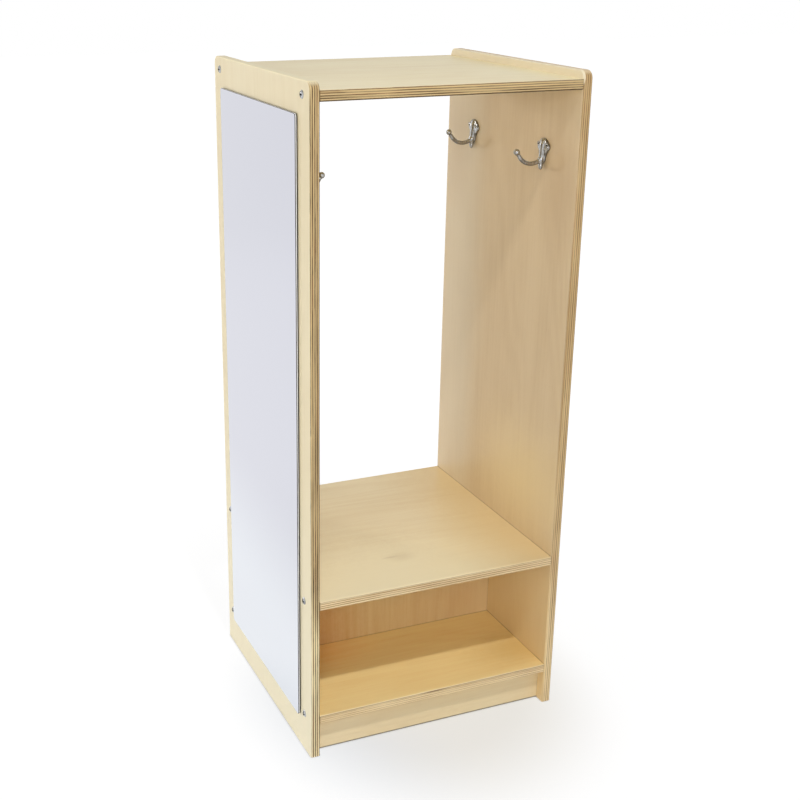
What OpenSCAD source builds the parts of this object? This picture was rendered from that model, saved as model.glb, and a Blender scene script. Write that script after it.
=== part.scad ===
// Open dress-up unit in clear-finished birch plywood: a hanging space with coat hooks over a
// divided shoe cubby, and a tall safety mirror on the left side.
// Millimetres, +Z up, and the front faces -Y. The origin is on the floor, in the middle of the
// overall width and depth.

/* [Carcass] */
// Width over the outer faces of the two side panels
unit_w = 430; // [380:1:520]
// Depth of the side panels and shelves
unit_d = 408; // [360:1:480]
// Height of the side panels
unit_h = 1030; // [900:1:1200]
// Thickness of the plywood
ply_t = 15; // [13:0.5:18]
// Radius of the side panels' two top corners
corner_r = 12; // [6:1:30]
// Radius of the eased plywood edges
edge_r = 2; // [1:0.25:3]

/* [Shelves] */
// Drop from the side panels' top edge to the top panel's upper face
top_drop = 11.5; // [6:0.5:40]
// Height of the middle shelf's upper face
middle_z = 270; // [220:1:340]
// Height of the bottom shelf's upper face
bottom_z = 72; // [66:1:110]
// Setback of each kick board's face behind the side panels' edge
kick_setback = 18; // [6:1:50]
// Gap between the kick boards and the floor
kick_floor_gap = 1; // [0.5:0.5:5]

/* [Carcass fixings] */
// Distance of the assembly screws from the side panels' front and rear edges
screw_inset = 27; // [14:1:33]
// Diameter of an assembly screw's domed head
head_d = 12; // [9:0.5:13]
// Height of an assembly screw's domed head
head_h = 2.8; // [2:0.1:3.6]
// Diameter of an assembly screw's shank
shank_d = 5; // [4:0.25:6]
// Length of an assembly screw below its head
shank_l = 50; // [40:1:60]
// Distance of the dowels from the side panels' front and rear edges
dowel_inset = 100; // [60:1:140]
// Diameter of a dowel
dowel_d = 8; // [6:0.5:8]
// Length of a dowel
dowel_l = 30; // [26:1:34]
// Depth that a dowel stands in the face of a panel
dowel_seat = 9; // [8:0.5:10]
// Distance of the kick boards' dowels from the boards' top and bottom edges
kick_dowel_inset = 15; // [10:0.5:18]
// Distance of the divider's fixings from the side panels' inner faces
divider_fix_inset = 80; // [40:1:110]

/* [Mirror] */
// Margin from the side panel's front edge to the mirror
mirror_front = 43; // [41:0.5:80]
// Margin from the side panel's rear edge to the mirror
mirror_rear = 40; // [40:0.5:80]
// Margin from the side panel's top edge to the mirror
mirror_top = 45.5; // [40:0.5:90]
// Height of the mirror's lower edge above the floor
mirror_base = 53; // [30:0.5:90]
// Thickness of the mirror sheet
mirror_t = 3; // [2:0.5:5]
// Radius of the mirror's corners
mirror_corner_r = 5; // [3:0.5:15]
// Radius of the mirror's eased front edge
mirror_edge_r = 0.6; // [0.3:0.1:0.9]
// Thickness of the foam mounting tape behind the mirror
tape_t = 1.2; // [0.8:0.1:2]
// Width of each strip of tape
tape_w = 25; // [12:1:30]
// Number of strips of tape
tape_count = 5; // [3:1:6]
// Distance of the tape from the mirror's edges
tape_inset = 2; // [1.5:0.5:10]

/* [Hooks] */
// Distance of the right hooks from the side panel's front and rear edges
right_hook_inset = 94; // [70:0.5:130]
// Distance of the left hooks from the side panel's front and rear edges
left_hook_inset = 113; // [70:0.5:130]
// Drop from the side panel's top edge to the right hooks' screws
right_hook_drop = 116; // [90:1:160]
// Drop from the side panel's top edge to the left hooks' screws
left_hook_drop = 134; // [90:1:160]
// Distance between a hook's two screws
hook_screw_gap = 24; // [21:0.5:28]
// Radius of the plate's ear round each screw
hook_ear_r = 4.6; // [4.2:0.1:7]
// Thickness of a hook's plate
hook_plate_t = 3.5; // [2.5:0.25:4]
// Drop from the hook's screws to the boss that the arm grows from
hook_boss_drop = 22; // [18:0.5:28]
// Diameter of the boss
hook_boss_d = 10.6; // [9:0.2:12]
// Reach from the panel to the centre of the ball on the arm's end
hook_reach = 47.5; // [45:0.5:60]
// Radius of the arm's bend, at the middle of the rod
hook_bend_r = 25.3; // [20:0.1:26]
// Angle below level at which the arm leaves the boss
hook_dip = 40; // [25:1:50]
// Angle above level at which the arm reaches the ball
hook_rise = 55; // [45:1:70]
// Diameter of the arm's rod
hook_rod_d = 6.4; // [5:0.1:7]
// Diameter of the rod where it meets the ball
hook_neck_d = 5; // [4:0.1:5]
// Diameter of the ball
hook_ball_d = 9.5; // [8:0.1:12]
// Drop from the boss's middle to the collar at the root of the stub
hook_collar_drop = 4.5; // [3:0.5:6]
// Diameter of that collar
hook_collar_d = 9.4; // [8:0.1:10]
// Length from the boss's middle to the round tip of the tapered stub
hook_stub_l = 13.5; // [9:0.5:18]
// Diameter of the stub's rounded tip
hook_tip_d = 4; // [3:0.1:5]
// Diameter of a hook screw's head
hook_head_d = 6.8; // [5.6:0.1:7]
// Diameter of a hook screw's shank
hook_shank_d = 3.4; // [2.5:0.1:4]
// Depth that a hook screw bites into the side panel
hook_bite = 11; // [8:0.5:12]

/* [Clearances] */
// Gap all round a dowel in its bore
dowel_gap = 0.1; // [0.05:0.05:0.2]
// Gap at each end of a dowel
dowel_end_gap = 0.5; // [0.5:0.1:1]
// Gap all round a screw in its bore
screw_gap = 0.1; // [0.05:0.05:0.3]
// Depth of a screw's bore past the screw's tip
screw_end_gap = 1; // [0.5:0.1:2]

/* [Hidden] */
$fn = 48;

left = 0;
right = 1;
front = -1;
rear = 1;

birch = [0.88, 0.80, 0.65];
beech = [0.80, 0.62, 0.42];
nickel = [0.70, 0.69, 0.67];
zinc = [0.80, 0.80, 0.82];
silver = [0.86, 0.88, 0.93];
foam = [0.25, 0.26, 0.28];

// Across the unit: the wider of mirror and screw heads stands out on the left, heads on the right
left_out = max(mirror_t + tape_t, head_h);
overall_w = left_out + unit_w + head_h;
left_x = -overall_w / 2 + left_out;
right_x = left_x + unit_w;
inner_x = left_x + ply_t;
inner_w = unit_w - 2 * ply_t;

// Up the unit: centre heights of the three level boards, from the top down
top_z = unit_h - top_drop;
top_mid = top_z - ply_t / 2;
middle_mid = middle_z - ply_t / 2;
bottom_mid = bottom_z - ply_t / 2;
board_mids = [top_mid, middle_mid, bottom_mid];

// The lower part: divider between the shelves, kick boards under the bottom shelf
divider_h = middle_z - ply_t - bottom_z;
kick_h = bottom_z - ply_t - kick_floor_gap;
kick_y = unit_d / 2 - kick_setback - ply_t / 2;
kick_dowel_zs = [kick_floor_gap + kick_dowel_inset, kick_floor_gap + kick_h - kick_dowel_inset];

screw_ys = [-unit_d / 2 + screw_inset, unit_d / 2 - screw_inset];
dowel_ys = [-unit_d / 2 + dowel_inset, unit_d / 2 - dowel_inset];
divider_fix_xs = [inner_x + divider_fix_inset, inner_x + inner_w - divider_fix_inset];
hook_ys = [unit_d / 2 - left_hook_inset, unit_d / 2 - right_hook_inset];
hook_drops = [left_hook_drop, right_hook_drop];

mirror_w = unit_d - mirror_front - mirror_rear;
mirror_h = unit_h - mirror_top - mirror_base;
mirror_y = -unit_d / 2 + mirror_front;

// Hook: u runs out from the panel's inner face, z is measured from the line of the screws
boss_u = hook_plate_t + 1.5;
bend_u = boss_u + hook_bend_r * sin(hook_dip);
bend_z = -hook_boss_drop + hook_bend_r * cos(hook_dip);
arc_end_u = bend_u + hook_bend_r * sin(hook_rise);
arc_end_z = bend_z - hook_bend_r * cos(hook_rise);
neck_l = (hook_reach - arc_end_u) / cos(hook_rise);
neck_step = 0.3;
neck_lap = 1;
ear_drop = 2.5;
crown_r = 12.5;
crown_drop = 3;
waist_r = 7.5;
waist_drop = 12;
foot_r = 5.6;
rib_top_r = 4.4;
rib_waist_r = 3.6;
rib_top_z = 1;
rib_lean = 2;
hook_screw_lift = 0.7;
hook_screw_rim = 0.2;

// Screws and dowels: cross recess, point, and the divider's own screws
recess_w = 1.3;
recess_depth = 1.6;
recess_share = 0.55;
point_l = 6;
point_d = 1;
divider_screw_l = 45;
divider_head_d = 9;
divider_shank_d = 4.5;
chamfer = 1;

// How far a cut runs past the surface that it opens
past = 1;

// ---------------------------------------------------------------- shared forms

// Half section of a board's edge: `reach` deep, `t` thick, its two outer arrises rounded
module edge_section(reach, t, low_r, high_r) {
    translate([0, low_r]) square([reach, t - low_r - high_r]);
    square([reach - low_r, t / 2]);
    translate([0, t / 2]) square([reach - high_r, t / 2]);
    if (low_r > 0) translate([reach - low_r, low_r]) circle(low_r);
    if (high_r > 0) translate([reach - high_r, t - high_r]) circle(high_r);
}

// A straight run of edge along +X, its outer side towards +Y
module edge_run(run, reach, t, low_r, high_r)
    rotate([90, 0, 90]) linear_extrude(run) edge_section(reach, t, low_r, high_r);

// A quarter turn of the same edge, in the +X +Y quadrant
module edge_corner(reach, t, low_r, high_r)
    rotate_extrude(angle = 90) edge_section(reach, t, low_r, high_r);

// A plate in the XY plane with round corners and eased arrises. With `foot` its lower corners
// and lower edge stay square, because it stands on them.
module eased_plate(w, h, t, r, low_r, high_r, foot) {
    base = foot ? 0 : r;
    translate([r, base, 0]) cube([w - 2 * r, h - r - base, t]);
    translate([r, h - r, 0]) edge_run(w - 2 * r, r, t, low_r, high_r);
    translate([r, base, 0]) rotate([0, 0, 90]) edge_run(h - r - base, r, t, low_r, high_r);
    translate([w - r, h - r, 0]) rotate([0, 0, -90]) edge_run(h - r - base, r, t, low_r, high_r);
    translate([w - r, h - r, 0]) edge_corner(r, t, low_r, high_r);
    translate([r, h - r, 0]) rotate([0, 0, 90]) edge_corner(r, t, low_r, high_r);
    if (!foot) {
        translate([w - r, r, 0]) rotate([0, 0, 180]) edge_run(w - 2 * r, r, t, low_r, high_r);
        translate([r, r, 0]) rotate([0, 0, 180]) edge_corner(r, t, low_r, high_r);
        translate([w - r, r, 0]) rotate([0, 0, -90]) edge_corner(r, t, low_r, high_r);
    }
}

// A level board between the side panels, with eased front and rear edges
module level_board(depth, z_top)
    translate([inner_x, 0, z_top - ply_t]) {
        edge_run(inner_w, depth / 2, ply_t, edge_r, edge_r);
        translate([inner_w, 0, 0]) rotate([0, 0, 180])
            edge_run(inner_w, depth / 2, ply_t, edge_r, edge_r);
    }

// Places a form on a side panel: u = 0 is its outer face, and u runs into the unit along X
module on_side(side)
    if (side == left) translate([left_x, 0, 0]) children();
    else translate([right_x, 0, 0]) mirror([1, 0, 0]) children();

// A rod along +X from x = 0
module rod(d, l) rotate([0, 90, 0]) cylinder(d = d, h = l);

// Cross recess, cut down from z = 0
module cross_recess(l, depth)
    for (turn = [0, 90]) rotate([0, 0, turn])
        translate([-l / 2, -recess_w / 2, -depth]) cube([l, recess_w, depth + past]);

// Cap of a sphere: `d` across its flat base at z = 0, `h` high
module dome(d, h) {
    ball_r = (d * d / 4 + h * h) / (2 * h);
    intersection() {
        translate([0, 0, h - ball_r]) sphere(ball_r, $fn = 96);
        cylinder(d = d + past, h = h + past);
    }
}

// Plain wood dowel along +X with chamfered ends
module dowel() {
    translate([chamfer, 0, 0]) rod(dowel_d, dowel_l - 2 * chamfer);
    rotate([0, 90, 0]) cylinder(d1 = dowel_d - 2 * chamfer, d2 = dowel_d, h = chamfer);
    translate([dowel_l - chamfer, 0, 0]) rotate([0, 90, 0])
        cylinder(d1 = dowel_d, d2 = dowel_d - 2 * chamfer, h = chamfer);
}

// Bore for a dowel that starts at x = 0
module dowel_bore()
    translate([-dowel_end_gap, 0, 0])
        rod(dowel_d + 2 * dowel_gap, dowel_l + 2 * dowel_end_gap);

// Assembly screw along +X: the head bears on x = 0
module assembly_screw() {
    rotate([0, -90, 0]) difference() {
        dome(head_d, head_h);
        translate([0, 0, head_h]) cross_recess(head_d * recess_share, recess_depth);
    }
    rod(shank_d, shank_l - point_l);
    translate([shank_l - point_l, 0, 0]) rotate([0, 90, 0])
        cylinder(d1 = shank_d, d2 = point_d, h = point_l);
}

// Bore for an assembly screw, from just outside the panel's outer face
module assembly_bore()
    translate([-past, 0, 0]) rod(shank_d + 2 * screw_gap, shank_l + screw_end_gap + past);

// Countersunk screw down -Z, its rim flush with z = 0 and its middle raised by `lift`
module sunk_screw(d, l, head, lift) {
    sink = (head - d) / 2;
    difference() {
        union() {
            translate([0, 0, -sink]) cylinder(d1 = d, d2 = head, h = sink);
            if (lift > 0) dome(head - 2 * hook_screw_rim, lift);
        }
        translate([0, 0, lift]) cross_recess(head * recess_share, recess_depth);
    }
    translate([0, 0, -l + point_l / 2]) cylinder(d = d, h = l - point_l / 2 - sink);
    translate([0, 0, -l]) cylinder(d1 = point_d, d2 = d, h = point_l / 2);
}

// Bore and countersink for that screw
module sunk_bore(d, l, head) {
    sink = (head - d) / 2;
    bore = d + 2 * screw_gap;
    translate([0, 0, -l - screw_end_gap]) cylinder(d = bore, h = l + screw_end_gap + past);
    translate([0, 0, -sink]) cylinder(d1 = bore, d2 = head + 2 * screw_gap, h = sink);
    cylinder(d = head + 2 * screw_gap, h = past);
}

// ---------------------------------------------------------------- fixings and their bores

// Along a side panel's joint with one board: children at both places, at height z
module at_ys(ys, u, z) for (y = ys) translate([u, y, z]) children();

dowel_u = ply_t - dowel_seat;

module joint_screws(side, z) color(zinc) on_side(side) at_ys(screw_ys, 0, z) assembly_screw();
module joint_dowels(side, z) color(beech) on_side(side) at_ys(dowel_ys, dowel_u, z) dowel();

module joint_bores(side, z) on_side(side) {
    at_ys(screw_ys, 0, z) assembly_bore();
    at_ys(dowel_ys, dowel_u, z) dowel_bore();
}

// Dowels of one kick board, two in each end
module kick_dowels(end) color(beech)
    for (side = [left, right], z = kick_dowel_zs)
        on_side(side) translate([dowel_u, end * kick_y, z]) dowel();

module kick_bores(end)
    for (side = [left, right], z = kick_dowel_zs)
        on_side(side) translate([dowel_u, end * kick_y, z]) dowel_bore();

// Dowels that stand up from the divider into the middle shelf
module at_divider_top()
    for (x = divider_fix_xs)
        translate([x, 0, middle_z - ply_t + dowel_seat]) rotate([0, 90, 0]) children();

module divider_dowels() color(beech) at_divider_top() dowel();

// Screws up through the bottom shelf into the divider
module at_divider_foot()
    for (x = divider_fix_xs)
        translate([x, 0, bottom_z - ply_t]) rotate([180, 0, 0]) children();

module divider_screws() color(zinc)
    at_divider_foot() sunk_screw(divider_shank_d, divider_screw_l, divider_head_d, 0);

module divider_screw_bores()
    at_divider_foot() sunk_bore(divider_shank_d, divider_screw_l, divider_head_d);

// ---------------------------------------------------------------- boards

module side_panel(side) color(birch) difference() {
    on_side(side) translate([0, -unit_d / 2, 0]) rotate([90, 0, 90])
        eased_plate(unit_d, unit_h, ply_t, corner_r, edge_r, edge_r, true);
    for (z = board_mids) joint_bores(side, z);
    for (end = [front, rear]) {
        kick_bores(end);
        at_hook(side, end) hook_screw_bores();
    }
}

module level_panel(z_top) difference() {
    level_board(unit_d, z_top);
    for (side = [left, right]) joint_bores(side, z_top - ply_t / 2);
}

module top_panel() color(birch) level_panel(top_z);

module middle_shelf() color(birch) difference() {
    level_panel(middle_z);
    at_divider_top() dowel_bore();
}

module bottom_shelf() color(birch) difference() {
    level_panel(bottom_z);
    divider_screw_bores();
}

module cubby_divider() color(birch) difference() {
    translate([inner_x, -ply_t / 2, bottom_z]) cube([inner_w, ply_t, divider_h]);
    at_divider_top() dowel_bore();
    divider_screw_bores();
}

module kick_board(end) color(birch) difference() {
    translate([inner_x, end * kick_y - ply_t / 2, kick_floor_gap]) cube([inner_w, ply_t, kick_h]);
    kick_bores(end);
}

// ---------------------------------------------------------------- mirror

module mirror_sheet() color(silver)
    translate([left_x - tape_t, mirror_y, mirror_base]) mirror([1, 0, 0]) rotate([90, 0, 90])
        eased_plate(mirror_w, mirror_h, mirror_t, mirror_corner_r, 0, mirror_edge_r, false);

// Upright strips of foam tape, spread evenly over the mirror's width, between its round corners
module mirror_tape() color(foam) {
    pitch = (mirror_w - 2 * tape_inset - tape_w) / (tape_count - 1);
    end_inset = tape_inset + mirror_corner_r;
    for (i = [0 : tape_count - 1])
        translate([left_x - tape_t, mirror_y + tape_inset + i * pitch, mirror_base + end_inset])
            cube([tape_t, tape_w, mirror_h - 2 * end_inset]);
}

// ---------------------------------------------------------------- hooks

// Places a hook: u = 0 is the panel's inner face, and z = 0 the line of its screws
module at_hook(side, end)
    on_side(side) translate([ply_t, end * hook_ys[side], unit_h - hook_drops[side]]) children();

// Outline of the plate, v across the panel and z up: a round crown and two ears, drawn in below
// to a waist, and a foot round the boss
module plate_outline() {
    hull() {
        for (v = [-1, 1])
            translate([v * hook_screw_gap / 2, -ear_drop]) circle(hook_ear_r, $fn = 32);
        translate([0, -crown_drop]) circle(crown_r, $fn = 48);
        translate([0, -waist_drop]) circle(waist_r, $fn = 32);
    }
    hull() {
        translate([0, -waist_drop]) circle(waist_r, $fn = 32);
        translate([0, -hook_boss_drop]) circle(foot_r, $fn = 32);
    }
}

// Both screws of a hook, driven towards the panel from the plate's face
module at_hook_screws()
    for (v = [-1, 1])
        translate([hook_plate_t, v * hook_screw_gap / 2, 0]) rotate([0, 90, 0]) children();

module hook_screw_bores()
    at_hook_screws() sunk_bore(hook_shank_d, hook_bite + hook_plate_t, hook_head_d);

// Swept rod: an arc from the boss, then, inside a small step, a tapering neck to the ball
module hook_arm() {
    neck_root_d = hook_rod_d - 2 * neck_step;
    translate([bend_u, 0, bend_z]) rotate([90, 0, 0])
        rotate([0, 0, -90 - hook_dip]) rotate_extrude(angle = hook_dip + hook_rise, $fn = 96)
            translate([hook_bend_r, 0]) circle(d = hook_rod_d, $fn = 32);
    translate([arc_end_u, 0, arc_end_z]) rotate([0, 90 - hook_rise, 0]) {
        translate([0, 0, -neck_lap])
            cylinder(d1 = neck_root_d, d2 = hook_neck_d, h = neck_l + neck_lap);
        translate([0, 0, neck_l]) sphere(d = hook_ball_d);
    }
}

// Raised rib down the plate, the boss, and below it the collar and the tapered stub
module hook_spine() {
    rib_l = hook_boss_drop + rib_top_z;
    stub_root_d = hook_collar_d - 2;
    translate([boss_u, 0, -hook_boss_drop]) rotate([0, -rib_lean, 0]) {
        cylinder(r1 = rib_waist_r, r2 = rib_top_r - neck_step, h = rib_l);
        translate([0, 0, rib_l]) sphere(rib_top_r);
    }
    translate([boss_u, 0, -hook_boss_drop]) sphere(d = hook_boss_d);
    translate([boss_u, 0, -hook_boss_drop - hook_collar_drop])
        cylinder(d1 = hook_collar_d, d2 = stub_root_d, h = hook_collar_drop);
    translate([boss_u, 0, -hook_boss_drop - hook_stub_l]) {
        cylinder(d1 = hook_tip_d, d2 = hook_collar_d, h = hook_stub_l - hook_collar_drop);
        sphere(d = hook_tip_d + 0.1);
    }
}

// Keeps only what stands in front of the panel's face
module in_front_of_panel() intersection() {
    children();
    translate([0, -hook_reach, -2 * hook_reach]) cube([hook_reach, 2 * hook_reach, 4 * hook_reach]);
}

module coat_hook(side, end) color(nickel) at_hook(side, end) difference() {
    union() {
        rotate([90, 0, 90]) linear_extrude(hook_plate_t) plate_outline();
        in_front_of_panel() hook_spine();
        hook_arm();
    }
    hook_screw_bores();
}

module hook_screws(side, end) color(zinc) at_hook(side, end)
    at_hook_screws()
        sunk_screw(hook_shank_d, hook_bite + hook_plate_t, hook_head_d, hook_screw_lift);

// ---------------------------------------------------------------- nodes

side_panel(left);  // left_side_panel
side_panel(right);  // right_side_panel
top_panel();
middle_shelf();
bottom_shelf();
cubby_divider();
kick_board(front);  // front_kick_board
kick_board(rear);  // rear_kick_board
mirror_sheet();
mirror_tape();
coat_hook(left, front);  // left_front_hook
coat_hook(left, rear);  // left_rear_hook
coat_hook(right, front);  // right_front_hook
coat_hook(right, rear);  // right_rear_hook
hook_screws(left, front);  // left_front_hook_screws
hook_screws(left, rear);  // left_rear_hook_screws
hook_screws(right, front);  // right_front_hook_screws
hook_screws(right, rear);  // right_rear_hook_screws
joint_screws(left, top_mid);  // left_top_screws
joint_screws(left, middle_mid);  // left_middle_screws
joint_screws(left, bottom_mid);  // left_bottom_screws
joint_screws(right, top_mid);  // right_top_screws
joint_screws(right, middle_mid);  // right_middle_screws
joint_screws(right, bottom_mid);  // right_bottom_screws
joint_dowels(left, top_mid);  // left_top_dowels
joint_dowels(left, middle_mid);  // left_middle_dowels
joint_dowels(left, bottom_mid);  // left_bottom_dowels
joint_dowels(right, top_mid);  // right_top_dowels
joint_dowels(right, middle_mid);  // right_middle_dowels
joint_dowels(right, bottom_mid);  // right_bottom_dowels
divider_dowels();
divider_screws();
kick_dowels(front);  // front_kick_dowels
kick_dowels(rear);  // rear_kick_dowels
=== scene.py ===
# %% [markdown]
# # A child's dress-up unit in birch plywood
# The object is an open cupboard: two tall side panels, a top panel, a middle shelf and a bottom
# shelf, a divider that makes two shoe cubbies, four coat hooks and a mirror on the left side.
# Its construction is loaded first and stays as it is. This lesson adds what the eye sees: wood
# figure, the layers of the plywood's edges, cast hooks, zinc screws, a mirror, and a studio.

# %% Load the construction
import math

import bmesh
import bpy
import numpy as np
from mathutils import Matrix, Vector


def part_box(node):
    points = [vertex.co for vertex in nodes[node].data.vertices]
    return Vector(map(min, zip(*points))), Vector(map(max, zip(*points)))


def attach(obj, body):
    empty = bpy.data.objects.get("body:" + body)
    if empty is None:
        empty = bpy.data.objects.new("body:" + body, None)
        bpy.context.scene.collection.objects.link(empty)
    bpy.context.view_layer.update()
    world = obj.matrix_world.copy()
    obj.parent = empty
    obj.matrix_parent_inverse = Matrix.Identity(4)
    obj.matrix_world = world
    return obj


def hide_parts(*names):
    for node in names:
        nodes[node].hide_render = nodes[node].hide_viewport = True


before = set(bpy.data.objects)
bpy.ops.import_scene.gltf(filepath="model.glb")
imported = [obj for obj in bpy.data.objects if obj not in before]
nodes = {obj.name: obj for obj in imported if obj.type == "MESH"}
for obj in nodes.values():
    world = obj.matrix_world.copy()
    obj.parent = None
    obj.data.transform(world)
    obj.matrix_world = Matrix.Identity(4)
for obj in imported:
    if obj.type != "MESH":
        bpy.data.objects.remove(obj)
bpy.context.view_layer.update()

print("nodes loaded:", len(nodes))

# %% [markdown]
# ## The camera
# A photograph is matched best before anything is painted. The straight edges of the panels fix
# where the camera stood: a little above the unit, in front of its left corner. The picture was
# cropped after it was taken, so its optical middle lies left of its centre, which a sideways
# shift of the lens repeats. Turning the camera instead would change how its lines run together.

# %% Camera
IMAGE_PX = 800
FOCAL_PX = 1291.0
OPTICAL_MIDDLE_PX = 334.8
SENSOR_MM = 36
FARTHEST = 100
EYE = Vector((-0.8344, -1.7915, 1.2104))
EYE_TURN = (70.1086, -0.2274, -22.4179)

scene = bpy.context.scene
scene.view_settings.view_transform = "Standard"

lens = bpy.data.cameras.new("photo_camera")
lens.sensor_width = SENSOR_MM
lens.lens = SENSOR_MM * FOCAL_PX / IMAGE_PX
lens.shift_x = (IMAGE_PX / 2 - OPTICAL_MIDDLE_PX) / IMAGE_PX
lens.clip_end = FARTHEST
camera = bpy.data.objects.new("photo_camera", lens)
camera.location = EYE
camera.rotation_euler = [math.radians(a) for a in EYE_TURN]
scene.collection.objects.link(camera)
scene.camera = camera
print("camera: lens", round(lens.lens, 1), "mm, shift", round(lens.shift_x, 4))

# %% [markdown]
# ## Helpers for sums
# Every finish is worked out from where a point lies on the object, so it needs no pictures and
# no unwrapping, and it stays sharp at any distance. Each helper adds one node and hands back its
# output, so that a finish reads like a sum. A value that is a plain number is typed into the
# socket, and one that comes from another node is linked.

# %% Sums
def srgb(red, green, blue):
    """A colour written 0 to 255, as the linear values that shaders use."""
    shares = [c / 255 for c in (red, green, blue)]
    return [s / 12.92 if s < 0.04 else ((s + 0.055) / 1.055) ** 2.4 for s in shares] + [1.0]


def feed(tree, socket, value):
    if isinstance(value, bpy.types.NodeSocket):
        tree.links.new(value, socket)
    elif value is not None:
        socket.default_value = value


def feed_all(tree, sockets, values):
    for socket, value in zip(sockets, values):
        feed(tree, socket, value)


def calc(tree, operation, *values):
    node = tree.nodes.new("ShaderNodeMath")
    node.operation = operation
    feed_all(tree, node.inputs, values)
    return node.outputs[0]


def vector_calc(tree, operation, *values):
    node = tree.nodes.new("ShaderNodeVectorMath")
    node.operation = operation
    feed_all(tree, node.inputs, values)
    return node.outputs["Value" if operation in ("LENGTH", "DISTANCE") else "Vector"]


print("sums ready")

# %% [markdown]
# ## Helpers for blends, noise and places
# A finish also blends tones, makes masks with soft ends and takes a place apart into its axes.
# A node that mixes has separate sockets for numbers and colours, so each has its own helper.

# %% Blends, noise and places
NUMBER_SLOTS, COLOUR_SLOTS = (0, 2, 3), (0, 6, 7)


def blended(tree, share, first, second):
    """A number between two others."""
    node = tree.nodes.new("ShaderNodeMix")
    feed_all(tree, [node.inputs[i] for i in NUMBER_SLOTS], (share, first, second))
    return node.outputs[0]


def mixed(tree, share, first, second):
    """A colour between two others."""
    node = tree.nodes.new("ShaderNodeMix")
    node.data_type = "RGBA"
    feed_all(tree, [node.inputs[i] for i in COLOUR_SLOTS], (share, first, second))
    return node.outputs[2]


def spread(tree, value, low, high, to_low=0.0, to_high=1.0, shape="SMOOTHSTEP"):
    """Maps low..high to to_low..to_high, in a soft S unless told otherwise, and holds the ends."""
    node = tree.nodes.new("ShaderNodeMapRange")
    node.interpolation_type = shape
    feed_all(tree, node.inputs, (value, low, high, to_low, to_high))
    return node.outputs[0]


def noise(tree, place, stretch, detail=2.0, roughness=0.5):
    """Soft noise, 0 to 1. `stretch` is how many features lie in a metre along each axis."""
    node = tree.nodes.new("ShaderNodeTexNoise")
    feed(tree, node.inputs["Vector"], vector_calc(tree, "MULTIPLY", place, stretch))
    node.inputs["Scale"].default_value = 1
    node.inputs["Detail"].default_value = detail
    node.inputs["Roughness"].default_value = roughness
    return node.outputs["Fac"]


def joined(tree, *parts):
    node = tree.nodes.new("ShaderNodeCombineXYZ")
    feed_all(tree, node.inputs, parts)
    return node.outputs[0]


def parted(tree, place):
    node = tree.nodes.new("ShaderNodeSeparateXYZ")
    feed(tree, node.inputs[0], place)
    return list(node.outputs)


print("helpers ready")

# %% [markdown]
# ## Groups and materials
# A shader node group works like a function: named inputs, named outputs, built once. The groups
# here put out colours, masks and heights only. The surface shader stays in each material, where
# its fixed numbers are typed straight into its sockets.

# %% Group and material makers
KINDS = {"number": "NodeSocketFloat", "place": "NodeSocketVector", "colour": "NodeSocketColor"}


def begin_group(name, takes, gives):
    group = bpy.data.node_groups.new(name, "ShaderNodeTree")
    for side, sockets in (("INPUT", takes), ("OUTPUT", gives)):
        for label, kind in sockets.items():
            group.interface.new_socket(name=label, in_out=side, socket_type=KINDS[kind])
    ways_in = group.nodes.new("NodeGroupInput").outputs
    return group, ways_in, group.nodes.new("NodeGroupOutput").inputs


def use_group(tree, group, **values):
    node = tree.nodes.new("ShaderNodeGroup")
    node.node_tree = group
    for label, value in values.items():
        feed(tree, node.inputs[label], value)
    return node.outputs


def begin_material(name, **fixed):
    material = bpy.data.materials.new(name)
    material.use_nodes = True
    tree = material.node_tree
    surface = tree.nodes["Principled BSDF"]
    for label, number in fixed.items():
        surface.inputs[label.replace("_", " ")].default_value = number
    place = tree.nodes.new("ShaderNodeTexCoord").outputs["Object"]
    return material, tree, surface.inputs, place


def bump(tree, height, depth, strength=1.0):
    """Normals for relief whose full height is `depth` metres."""
    node = tree.nodes.new("ShaderNodeBump")
    node.inputs["Strength"].default_value = strength
    node.inputs["Distance"].default_value = depth
    feed(tree, node.inputs["Height"], height)
    return node.outputs["Normal"]


def dress(material, *names):
    """Gives one material to loaded nodes, in place of the plain one that they came with."""
    for name in names:
        nodes[name].data.materials.clear()
        nodes[name].data.materials.append(material)
    print(material.name, "->", len(names), "node(s)")


print("makers ready")

# %% [markdown]
# ## Birch veneer
# The face of birch plywood is peeled off the log in one long sheet. The knife cuts the growth
# rings at a slant, so they show as wide, faint contour lines, like a map's. Over them lie soft
# clouds of tone, long fine streaks and tiny pores, all drawn out along the grain. A wave texture
# would give straight, even bands, so the contours come from the sine of a stretched noise.
# The group reads a place as (along the grain, across it, through the board). The tone is a sum
# in which each kind of mark has its share.

# %% Veneer group
CONTOUR_TURNS = 85
CLOUD_SHARE, CONTOUR_SHARE, STREAK_SHARE, PORE_SHARE = 1.1, 0.14, 0.55, 0.28
CLOUD_SHIFT, STREAK_SHIFT = -0.30, 0.22

veneer, take, give = begin_group(
    "birch_veneer",
    {"Place": "place", "Pale": "colour", "Deep": "colour", "Figure": "number"},
    {"Colour": "colour", "Roughness": "number", "Height": "number"},
)
clouds = noise(veneer, take["Place"], (2.2, 11, 11), 3, 0.55)
sheet_map = noise(veneer, take["Place"], (1.3, 6.5, 6.5), 1.5, 0.4)
contours = calc(veneer, "SINE", calc(veneer, "MULTIPLY", sheet_map, CONTOUR_TURNS))
contours = calc(veneer, "MULTIPLY_ADD", contours, 0.5, 0.5)
streaks = noise(veneer, take["Place"], (5, 190, 190), 3, 0.6)
pores = spread(veneer, noise(veneer, take["Place"], (45, 1500, 900), 2, 0.5), 0.60, 0.72)

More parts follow.
